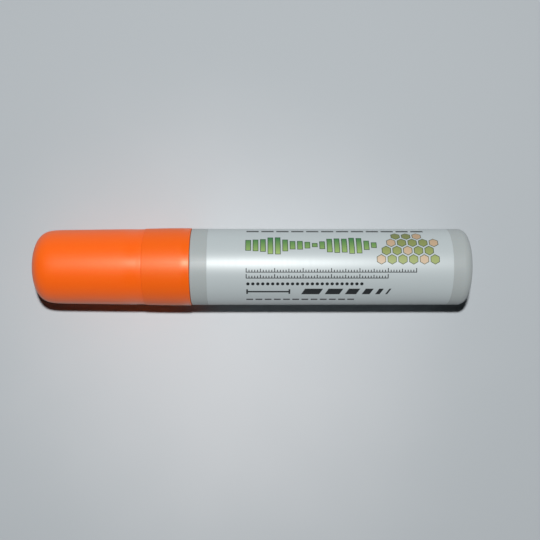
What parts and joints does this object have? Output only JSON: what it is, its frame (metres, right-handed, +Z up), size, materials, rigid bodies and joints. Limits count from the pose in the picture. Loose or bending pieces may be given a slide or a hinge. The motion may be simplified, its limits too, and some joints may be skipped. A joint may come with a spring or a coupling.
{
  "type": "paint marker",
  "caption": "Round wide-tip pump paint marker lying on its side: domed pull-off cap, screw collar, spring valve behind a chisel felt nib, closed tank barrel with film label and mixing balls.",
  "frame": {"origin": "on the surface that the marker lies on, under the middle of its box", "axes": "+X along the marker's axis from the cap to the base, +Z up"},
  "size_m": [0.1582, 0.0284, 0.0284],
  "materials": {
    "paint_colour_plastic": "moulded polypropylene, satin to gloss",
    "barrel_plastic": "moulded polypropylene, satin",
    "label_film": "metallised silver film, printed",
    "natural_plastic": "uncoloured moulded polypropylene",
    "soft_cup_plastic": "uncoloured moulded polyethylene",
    "felt": "bonded white polyester felt",
    "seal_rubber": "black nitrile rubber",
    "steel": "bare stainless steel"
  },
  "bodies": {
    "barrel": {"barrel": "barrel_plastic", "label": "label_film"},
    "mixing_ball_1": {"mixing_ball_1": "steel"},
    "mixing_ball_2": {"mixing_ball_2": "steel"},
    "head": {"front_section": "natural_plastic", "head_gasket": "seal_rubber", "valve_body": "natural_plastic", "spring_retainer": "natural_plastic", "valve_spring": "steel"},
    "collar": {"collar": "paint_colour_plastic"},
    "nib_unit": {"nib": "felt", "nib_carrier": "natural_plastic", "valve_plunger": "natural_plastic", "valve_seal": "seal_rubber"},
    "cap": {"cap_shell": "paint_colour_plastic", "inner_cap": "soft_cup_plastic"}
  },
  "joints": [
    {"name": "ball_1_roll", "type": "slide", "parent": "barrel", "child": "mixing_ball_1", "axis": [-1, 0, 0], "range_m": [0, 0.068]},
    {"name": "ball_2_roll", "type": "slide", "parent": "barrel", "child": "mixing_ball_2", "axis": [-1, 0, 0], "range_m": [0, 0.068]},
    {"name": "head_unscrew", "type": "slide", "parent": "barrel", "child": "head", "axis": [-1, 0, 0], "range_m": [0, 0.006]},
    {"name": "collar_turn", "type": "hinge", "parent": "head", "child": "collar", "pos_m": [-0.02967, 0, 0.01421], "axis": [-1, 0, 0], "range_deg": [0, 720]},
    {"name": "nib_press", "type": "slide", "parent": "head", "child": "nib_unit", "axis": [1, 0, 0], "range_m": [0, 0.0035], "stiffness_N_per_m": 570, "springref_m": -0.003, "deforming": ["valve_spring"]},
    {"name": "cap_pull", "type": "slide", "parent": "head", "child": "cap", "axis": [-1, 0, 0], "range_m": [0, 0.045]}
  ],
  "couplings": [
    {"joint": "collar_turn", "follows": "head_unscrew", "rad_per_m": 2094.4},
    {"joint": "ball_2_roll", "follows": "ball_1_roll", "ratio": 1}
  ]
}
